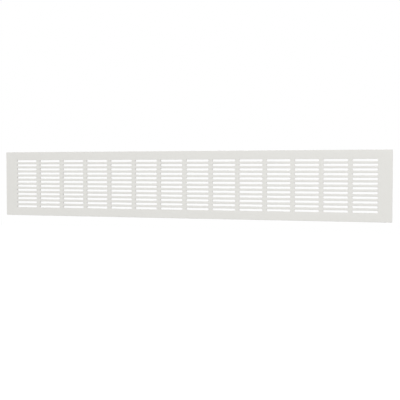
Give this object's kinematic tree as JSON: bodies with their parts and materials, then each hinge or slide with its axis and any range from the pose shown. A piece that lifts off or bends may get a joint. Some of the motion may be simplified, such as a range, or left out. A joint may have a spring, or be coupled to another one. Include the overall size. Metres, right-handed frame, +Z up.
{
  "type": "transfer grille",
  "caption": "Slim one-piece air transfer grille: a long flat face punched with rows of horizontal round-ended slots, a plain flange all round and locating webs along its back.",
  "frame": {"origin": "middle of the plane on which the flange seats, which is the back of the face; it lies where the middle bar and the middle slat cross, on metal", "axes": "+X along the grille, to the right as seen from the front; +Y backwards, into the cut-out; +Z up; the face looks towards -Y"},
  "size_m": [0.48, 0.01, 0.08],
  "materials": {
    "powder_coat": "light grey-white powder coat, satin, with a very fine orange-peel texture, over an aluminium profile"
  },
  "bodies": {
    "root": {"grille": "powder_coat"}
  },
  "joints": []
}
